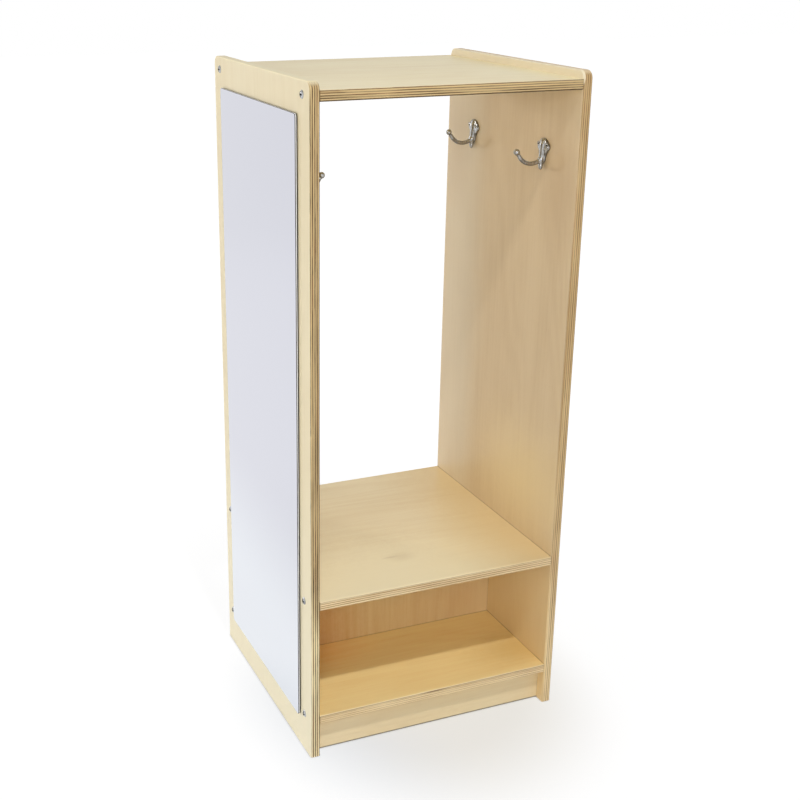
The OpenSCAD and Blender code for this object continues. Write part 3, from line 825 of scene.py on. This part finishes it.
def add_ball(bm, centre, radius, squash=(1, 1, 1)):
    size = Matrix.Diagonal((*(radius * s for s in squash), 1))
    place = Matrix.Translation(centre) @ size
    bmesh.ops.create_icosphere(bm, subdivisions=4, radius=1, matrix=place)


def add_skin(bm, rings):
    """Joins closed rings of points one to the next, and caps both ends."""
    count = len(rings[0])
    for low, high in zip(rings, rings[1:]):
        for k in range(count):
            after = (k + 1) % count
            bm.faces.new((low[k], low[after], high[after], high[k]))
    bm.faces.new(rings[0][::-1])
    bm.faces.new(rings[-1])


def add_tube(bm, points, radii, sides=32):
    """A closed tube through `points`, which lie in the plane v = 0."""
    side = Vector((0, 1, 0))
    turns = [2 * math.pi * k / sides for k in range(sides)]
    rings = []
    for i, (point, radius) in enumerate(zip(points, radii)):
        ahead = points[min(i + 1, len(points) - 1)] - points[max(i - 1, 0)]
        out = side.cross(ahead.normalized())
        rings.append([bm.verts.new(point + radius * (math.cos(a) * out + math.sin(a) * side))
                      for a in turns])
    add_skin(bm, rings)


def arm_route():
    """Down out of the boss, round the bend and straight up to the ball."""
    middle = BOSS + BEND_R * Vector((math.sin(DIP), 0, math.cos(DIP)))
    turns = np.linspace(-DIP, RISE, BEND_STEPS).tolist()
    route = [middle + BEND_R * Vector((math.sin(a), 0, -math.cos(a))) for a in turns]
    ahead = Vector((math.cos(RISE), 0, math.sin(RISE)))
    tip = route[-1] + ahead * ((REACH - route[-1].x) / ahead.x)
    return route + [route[-1].lerp(tip, s) for s in (0.4, 0.8, 1.0)], tip


print("arm runs to", [round(c / MM, 1) for c in arm_route()[1]], "mm")

# %% [markdown]
# ## The hook's plate
# The plate is a shallow dome over an outline with two ears. Its rings shrink towards the middle
# as they rise, first steeply at the rim and then in a low crown. Only the right half of the
# outline is written down, in millimetres, and the left half mirrors it.

# %% Hook plate
OUTLINE = (
    (0, 9.5), (4.5, 8.8), (8.6, 6.6), (12, 3.4), (14.9, 0.6), (16.4, -2.6), (15.6, -5.8),
    (12.8, -9), (10, -12), (7.8, -15.4), (6.4, -19), (5.8, -22), (4.6, -25.4), (2.4, -27),
    (0, -27.4))
PLATE_MIDDLE = (0, -6)
DOME = ((1.0, 0), (1.0, 1.8), (0.97, 2.6), (0.90, 3.1), (0.76, 3.5), (0.5, 4.4), (0.25, 5.2))


def plate_rim(count=72):
    """The plate's outline as points evenly spread along it, right half and then left."""
    half = np.array(OUTLINE, float)
    full = np.vstack([half, (half * (-1, 1))[-2:0:-1], half[:1]])
    run = np.concatenate([[0], np.cumsum(np.hypot(*np.diff(full, axis=0).T))])
    at = np.linspace(0, run[-1], count, endpoint=False)
    return [(float(np.interp(a, run, full[:, 0])), float(np.interp(a, run, full[:, 1])))
            for a in at]


def add_plate(bm):
    rim = plate_rim()
    v0, z0 = PLATE_MIDDLE
    rings = [[bm.verts.new(Vector((u, v0 + s * (v - v0), z0 + s * (z - z0))) * MM)
              for v, z in rim] for s, u in DOME]
    add_skin(bm, rings)


print("plate rim:", len(plate_rim()), "points")

# %% [markdown]
# ## One casting
# The rib starts in a broad, soft crown at the top of the plate and narrows towards the boss. The
# stub under the boss has two grooves, and the arm thins a little just before its ball.

# %% Hook casting
ROD_R, NECK_R, BALL_R, BOSS_R = 3.2 * MM, 2.5 * MM, 4.75 * MM, 5.2 * MM
RIB = ((0.2, 0, 5.0), (0.5, 0, 0), (1.8, 0, -10), (4.2, 0, -21))
RIB_RADII = (6.0, 7.4, 6.2, 4.4)
STUB_DOWN = (-3, -5.4, -7.0, -7.6, -9.2, -9.8, -11.4, -12.9)
STUB_RADII = (3.9, 4.3, 4.2, 3.5, 4.0, 3.2, 3.4, 2.6)
EVEN_STEPS = 26


def casting():
    bm = bmesh.new()
    add_plate(bm)
    add_tube(bm, [Vector(at) * MM for at in RIB], [r * MM for r in RIB_RADII])
    add_ball(bm, (0.4 * MM, 0, 3.6 * MM), 6.4 * MM, (0.95, 1, 0.9))
    add_ball(bm, BOSS, BOSS_R)
    add_ball(bm, BOSS + Vector((0, 0, -5.0)) * MM, 5.0 * MM, (1, 1, 0.42))
    stub = [BOSS + Vector((0, 0, z)) * MM for z in STUB_DOWN]
    add_tube(bm, stub, [r * MM for r in STUB_RADII])
    add_ball(bm, stub[-1], 2.65 * MM)
    route, tip = arm_route()
    thinning = np.linspace(ROD_R, NECK_R, len(route) - EVEN_STEPS).tolist()
    add_tube(bm, route, [ROD_R] * EVEN_STEPS + thinning)
    add_ball(bm, tip, BALL_R)
    bmesh.ops.recalc_face_normals(bm, faces=bm.faces)
    mesh = bpy.data.meshes.new("hook_casting")
    bm.to_mesh(mesh)
    bm.free()
    return mesh


rough_hook = bpy.data.objects.new("rough_hook", casting())
scene.collection.objects.link(rough_hook)
weld = rough_hook.modifiers.new("weld", "REMESH")
weld.mode, weld.voxel_size, weld.use_smooth_shade = "VOXEL", 0.35 * MM, True
soften = rough_hook.modifiers.new("soften", "SMOOTH")
soften.factor, soften.iterations = 0.5, 5
thin = rough_hook.modifiers.new("thin", "DECIMATE")
thin.ratio = 0.4
print("rough hook:", len(rough_hook.data.polygons), "faces before welding")

# %% [markdown]
# ## Countersinks
# The screw holes are countersunk after the casting is smooth, as they would be drilled after it
# has been cast: a cutter of two cones is subtracted, and only then are the modifiers applied to
# make the final mesh. Drilling leaves faces of many corners, which are split into triangles
# here, so that nothing later splits them badly.

# %% Countersunk mesh
SCREW_V = 12 * MM
CONES = ((2.7, 1.9, 3.6, 1.7), (5.0, 3.6, 4.2, 3.0))

cutters = bmesh.new()
for v in (-SCREW_V, SCREW_V):
    for out, small, large, long in CONES:
        place = Matrix.Translation((out * MM, v, 0)) @ Matrix.Rotation(math.pi / 2, 4, "Y")
        bmesh.ops.create_cone(cutters, cap_ends=True, segments=48, radius1=small * MM,
                              radius2=large * MM, depth=long * MM, matrix=place)
cutter_mesh = bpy.data.meshes.new("countersinks")
cutters.to_mesh(cutter_mesh)
cutters.free()
cutter = bpy.data.objects.new("countersinks", cutter_mesh)
scene.collection.objects.link(cutter)
drill = rough_hook.modifiers.new("drill", "BOOLEAN")
drill.operation, drill.object, drill.solver, drill.use_self = "DIFFERENCE", cutter, "EXACT", True

bpy.context.view_layer.update()
finished = rough_hook.evaluated_get(bpy.context.evaluated_depsgraph_get())
hook_mesh = bpy.data.meshes.new_from_object(finished)
hook_mesh.name = "coat_hook"
bpy.data.objects.remove(rough_hook)
bpy.data.objects.remove(cutter)

skin = bmesh.new()
skin.from_mesh(hook_mesh)
bmesh.ops.triangulate(skin, faces=skin.faces)
print("open edges in the hook's skin:", sum(not edge.is_manifold for edge in skin.edges))
skin.to_mesh(hook_mesh)
skin.free()
hook_mesh.shade_smooth()

# %% [markdown]
# ## Satin nickel
# The plating is bright on most of the casting. It is painted dull brown where the casting meets
# the panel, as painted shade, and on its undersides, as painted shade and reflection.

# %% Nickel
AT_PANEL, CLEAR_OF_PANEL = 0.8 * MM, 2.4 * MM

nickel, tree, surface, place = begin_material("satin_nickel", Metallic=1.0)
worked = use_group(tree, metal, Place=place, Bright=srgb(190, 191, 191),
                   Dull=srgb(124, 120, 112), Smooth=0.22, Rough=0.40)
# Painted shade where the casting meets the panel, and painted shade and reflection on the
# undersides.
painted_panel_shade = spread(tree, parted(tree, place)[X], AT_PANEL, CLEAR_OF_PANEL, 0.75, 0.0)
geometry = tree.nodes.new("ShaderNodeNewGeometry")
upward = parted(tree, geometry.outputs["Normal"])[Z]
below = spread(tree, upward, -0.95, -0.05, 0.8, 0.0)
nickel_painted_shade = calc(tree, "MAXIMUM", painted_panel_shade, below)
feed(tree, surface["Base Color"], mixed(tree, nickel_painted_shade, worked["Colour"], srgb(80, 68, 50)))
rough = calc(tree, "MULTIPLY_ADD", painted_panel_shade, 0.25, worked["Roughness"])
feed(tree, surface["Roughness"], rough)
feed(tree, surface["Normal"], bump(tree, worked["Height"], 0.00005, 0.5))
hook_mesh.materials.clear()
hook_mesh.materials.append(nickel)
print(nickel.name, "ready,", len(tree.nodes), "nodes")

# %% [markdown]
# ## Four hooks
# The four hooks share the mesh. One on the left panel is the right one turned half round,
# because the casting is the same on both sides of its arm. Each stands exactly where the plain
# hook of the construction does and replaces it.

# %% Hooks in place
PLATE_TOP = 9.5 * MM

for side, wall, turn in (("left", LEFT_IN, 0), ("right", RIGHT_IN, math.pi)):
    for end in ("front", "rear"):
        node = f"{side}_{end}_hook"
        low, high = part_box(node)
        hook = bpy.data.objects.new(f"{side}_{end}_cast_hook", hook_mesh)
        hook.location = (wall, (low.y + high.y) / 2, high.z - PLATE_TOP)
        hook.rotation_euler = (0, 0, turn)
        scene.collection.objects.link(hook)
        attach(hook, "root")
        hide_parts(node)
        dress(nickel, node)
print("hook mesh:", len(hook_mesh.polygons), "faces")

# %% [markdown]
# ## The hooks' screws
# Two small countersunk screws hold each hook. They are plain zinc, with painted shade in the
# recess of the head, which is told from the rest by how far it lies from the middle of the unit.

# %% Hook screws
RECESS_FROM, RECESS_TO = 3.8 * MM, 3.4 * MM
wall_from_middle = RIGHT_IN - MIDDLE[0]

hook_zinc, tree, surface, place = begin_material("hook_screw_zinc", Metallic=1.0)
worked = use_group(tree, metal, Place=place, Bright=srgb(196, 193, 188),
                   Dull=srgb(140, 134, 126), Smooth=0.18, Rough=0.34)
from_middle = calc(tree, "SUBTRACT", parted(tree, place)[X], MIDDLE[0])
from_middle = calc(tree, "ABSOLUTE", from_middle)
shaded_recess = spread(tree, from_middle, wall_from_middle - RECESS_FROM, wall_from_middle - RECESS_TO)
feed(tree, surface["Base Color"], mixed(tree, shaded_recess, worked["Colour"], RECESS_SHADE))
feed(tree, surface["Roughness"], worked["Roughness"])
feed(tree, surface["Normal"], bump(tree, worked["Height"], 0.00004, 0.5))
dress(hook_zinc, *[name for name in nodes if name.endswith("hook_screws")])

# %% [markdown]
# ## The studio floor
# The photograph has a pure white ground with a faint pool of shade around the feet and a dark
# line where wood meets floor. A floor lit to white would flood the wood from below. Light Path
# lets the same floor act in two ways: rays from the camera, and those that a mirror or metal
# sends on, see it nearly white, and the light that bounces to the wood comes from a plain pale
# floor. A small diffuse share keeps the lamps' own shadows. The pool is an ellipse around the
# feet, and the dark line comes from ambient occlusion over a few millimetres.

# %% Tone of the ground
POOL_MIDDLE, POOL_REACH = (0.023, -0.080, 0), (0.352, 0.421, 1)
POOL_CORE = 0.415
WHITE = (1, 1, 1, 1)
CONTACT_REACH = 0.005

paint = bpy.data.materials.new("floor_paint")
paint.use_nodes = True
tree = paint.node_tree
tree.nodes.clear()
place = tree.nodes.new("ShaderNodeTexCoord").outputs["Object"]
far = vector_calc(tree, "SUBTRACT", place, POOL_MIDDLE)
far = vector_calc(tree, "LENGTH", vector_calc(tree, "DIVIDE", far, POOL_REACH))
ground = mixed(tree, spread(tree, far, 1.0, 3.0), srgb(247, 247, 247), WHITE)
to_right = spread(tree, parted(tree, place)[X], -0.25, 0.05)
shade = mixed(tree, to_right, srgb(215, 218, 223), srgb(222, 219, 213))
ground = mixed(tree, spread(tree, far, POOL_CORE, 1.0, 1.0, 0.0), ground, shade)

shelter = tree.nodes.new("ShaderNodeAmbientOcclusion")
shelter.inputs["Distance"].default_value = CONTACT_REACH
shelter.samples = 8
openness = shelter.outputs["AO"]
soft_line = spread(tree, openness, 0.5, 0.95, 0.25, 0.0)
hard_line = spread(tree, openness, 0.2, 0.62, 0.95, 0.0)
ground = mixed(tree, soft_line, ground, srgb(118, 106, 84))
ground = mixed(tree, hard_line, ground, srgb(66, 56, 40))
print("ground tone:", len(tree.nodes), "nodes")

# %% [markdown]
# ## How the floor is seen
# One mix of two shaders chooses by the kind of ray. The first is plain matt paint. The second
# glows with the tone made above, plus a little diffuse that takes the lamps' shadows.

# %% Floor
def seen_directly(tree):
    """1 for rays from the camera, a reflection or clear plastic, and 0 for bounced light."""
    path = tree.nodes.new("ShaderNodeLightPath")
    sharp = calc(tree, "MAXIMUM", path.outputs["Is Camera Ray"], path.outputs["Is Glossy Ray"])
    return calc(tree, "MAXIMUM", sharp, path.outputs["Is Transmission Ray"])


def choose_by_ray(tree, bounced, direct, end):
    choose = tree.nodes.new("ShaderNodeMixShader")
    feed_all(tree, choose.inputs, (seen_directly(tree), bounced, direct))
    tree.links.new(choose.outputs[0], end)


matt = tree.nodes.new("ShaderNodeBsdfDiffuse")
matt.inputs["Color"].default_value = srgb(245, 245, 245)
glow = tree.nodes.new("ShaderNodeEmission")
feed(tree, glow.inputs["Color"], ground)
skim = tree.nodes.new("ShaderNodeBsdfDiffuse")
skim.inputs["Color"].default_value = (0.1, 0.1, 0.1, 1)
both = tree.nodes.new("ShaderNodeAddShader")
feed_all(tree, both.inputs, (glow.outputs[0], skim.outputs[0]))
end = tree.nodes.new("ShaderNodeOutputMaterial").inputs["Surface"]
choose_by_ray(tree, matt.outputs[0], both.outputs[0], end)

bpy.ops.mesh.primitive_plane_add(size=24, location=(0, 0, 0))
floor = bpy.context.object
floor.name = "studio_floor"
floor.data.materials.append(paint)
print("floor:", len(tree.nodes), "nodes")

# %% [markdown]
# ## The air
# The air works as the floor does, with one addition: a real studio's ceiling is dark, and metal
# looks like metal only when it has something dark to reflect, so reflections see it overhead.

# %% World
AIR, CEILING = (0.22, 0.22, 0.22, 1), (0.1, 0.1, 0.1, 1)
CEILING_FROM, CEILING_FULL = 0.35, 0.75

world = bpy.data.worlds.new("studio_air")
world.use_nodes = True
scene.world = world
tree = world.node_tree
air = tree.nodes["Background"]
air.inputs["Color"].default_value = AIR
backdrop = tree.nodes.new("ShaderNodeBackground")
above = parted(tree, tree.nodes.new("ShaderNodeTexCoord").outputs["Generated"])[Z]
reflected = tree.nodes.new("ShaderNodeLightPath").outputs["Is Glossy Ray"]
ceiling = calc(tree, "MULTIPLY", reflected, spread(tree, above, CEILING_FROM, CEILING_FULL))
feed(tree, backdrop.inputs["Color"], mixed(tree, ceiling, WHITE, CEILING))
end = tree.nodes["World Output"].inputs["Surface"]
choose_by_ray(tree, air.outputs[0], backdrop.outputs[0], end)
print("world:", len(tree.nodes), "nodes")

# %% [markdown]
# ## Lamps
# The shadows in the photograph tell where the lamps were. The middle shelf shades all but a
# strip of the bottom shelf, and the strip's depth and its crisp border say how high and how
# small the main lamp in front is. The hooks' shadows fall forward and a little down, so a small
# one stands behind the left corner. Two wide ones beside the camera and to the left fill the
# rest, and a weak one serves the side that the photograph doesn't show. The two that stand low
# at the sides are kept out of reflections, as a careful photographer would keep them out of the
# mirror.

# %% Lamps
def soft_lamp(name, place, aim, size, power, reflected=True):
    light = bpy.data.lights.new(name, "AREA")
    light.shape, light.size, light.energy = "DISK", size, power
    lamp = bpy.data.objects.new(name, light)
    lamp.visible_glossy = reflected
    lamp.location = place
    lamp.rotation_euler = (Vector(aim) - Vector(place)).to_track_quat("-Z", "Y").to_euler()
    scene.collection.objects.link(lamp)
    print(name, "at", place, power, "W")


soft_lamp("high_front_lamp", (-0.3, -2.0, 3.68), (0, 0, 0.5), 0.18, 55)
soft_lamp("camera_side_lamp", (-1.2, -3.2, 2.0), (0, 0, 0.5), 1.6, 36)
soft_lamp("left_lamp", (-3.2, 0.3, 0.7), (0, 0, 0.4), 1.6, 32.5, reflected=False)
soft_lamp("far_side_lamp", (3.0, 0.9, 0.8), (0.2, 0, 0.5), 1.6, 23, reflected=False)
soft_lamp("low_rear_lamp", (-2.1, 2.6, 1.35), (0.1, 0, 0.7), 0.4, 16)
